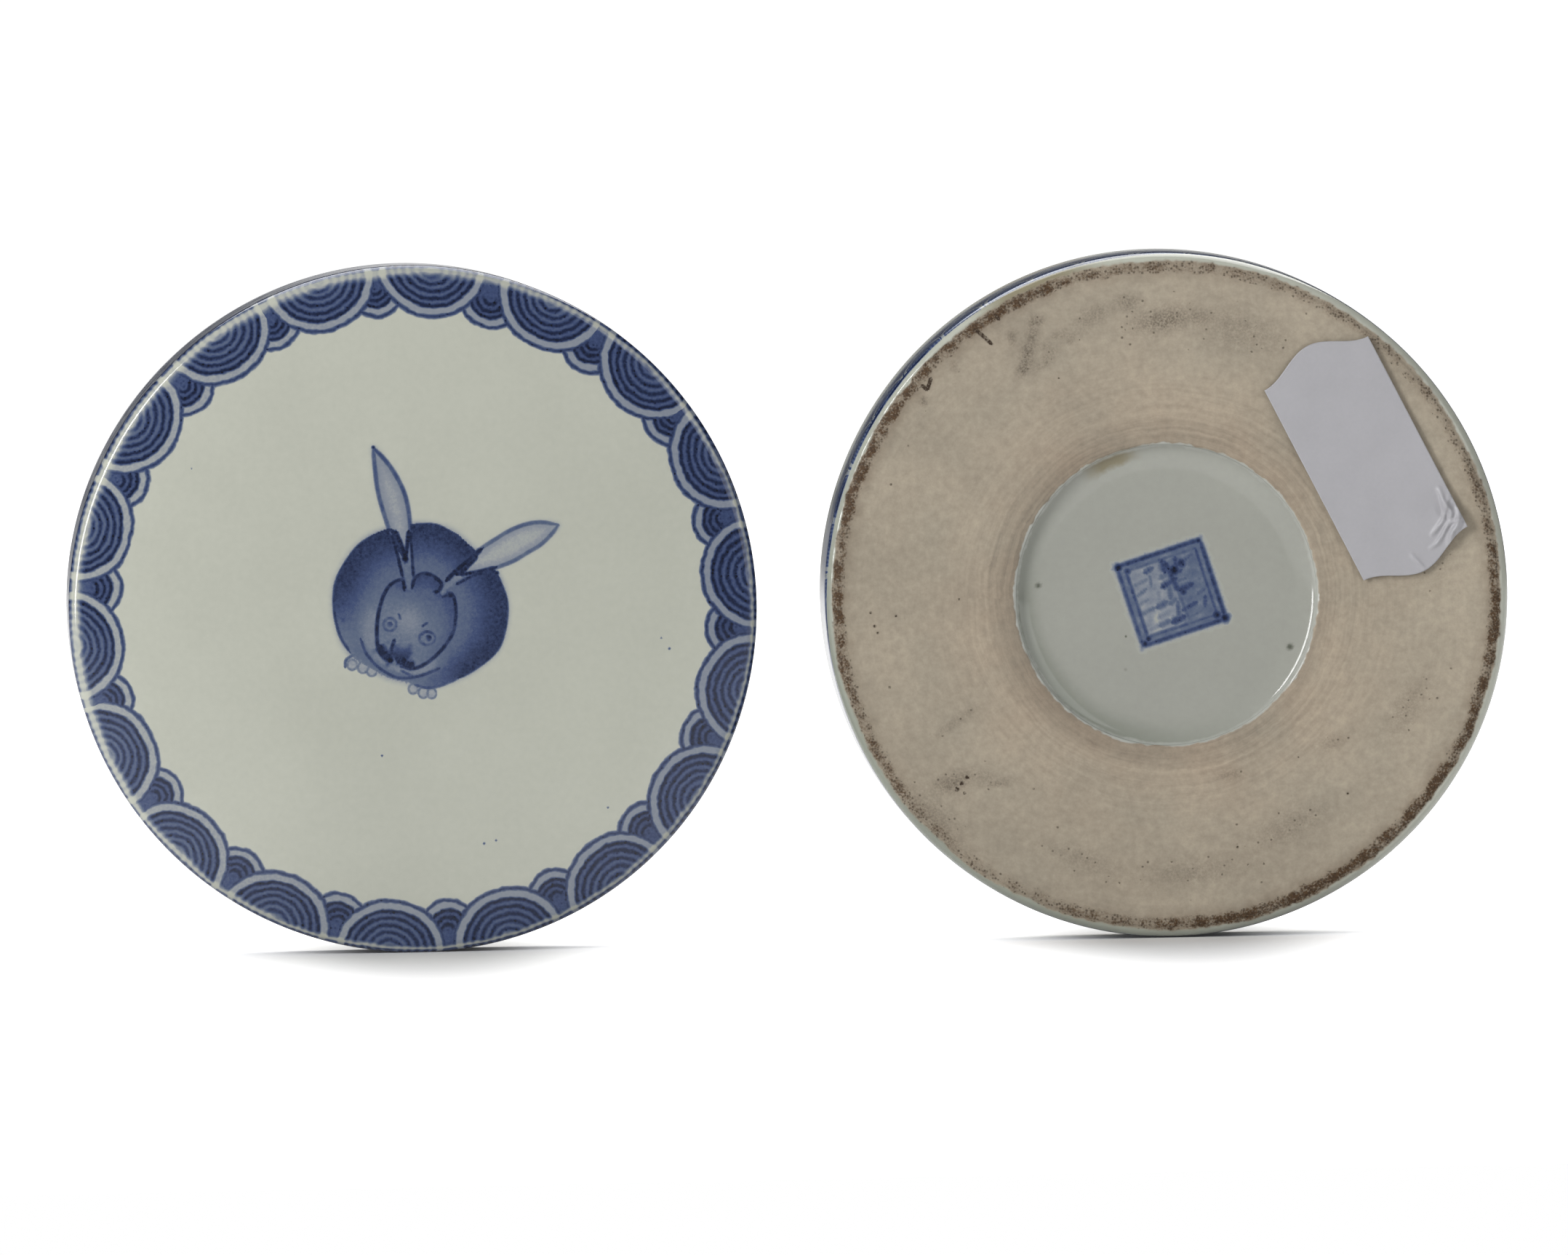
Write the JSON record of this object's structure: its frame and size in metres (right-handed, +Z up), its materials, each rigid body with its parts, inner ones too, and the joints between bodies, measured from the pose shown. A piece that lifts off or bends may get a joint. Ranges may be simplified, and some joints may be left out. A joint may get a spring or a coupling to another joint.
{
  "type": "round porcelain box with lid",
  "caption": "Shallow round lidded porcelain box; the lid is off and both halves stand on edge side by side, top and foot to the front.",
  "frame": {"origin": "bottom centre of the whole: on the surface the two halves stand on, midway between them and at the middle of their depth", "axes": "+Z up; +X from the lid to the base; +Y away from the viewer of the lid's top and the foot, so both hollows open towards +Y"},
  "size_m": [0.1476, 0.018, 0.0703],
  "materials": {
    "glazed_body_bare_foot": "unglazed matt foot, glossy glaze elsewhere",
    "blue_and_white_glaze": "glossy glaze over cobalt painting",
    "label_paper": "matt coated paper"
  },
  "bodies": {
    "base_body": {"base": "glazed_body_bare_foot", "paper_label": "label_paper"},
    "lid_body": {"lid": "blue_and_white_glaze"}
  },
  "joints": [
    {"name": "lid_turn", "type": "hinge", "parent": "base_body", "child": "lid_body", "pos_m": [0, 0.00615, 0], "axis": [0, 0, -1], "range_deg": [0, 180]}
  ]
}
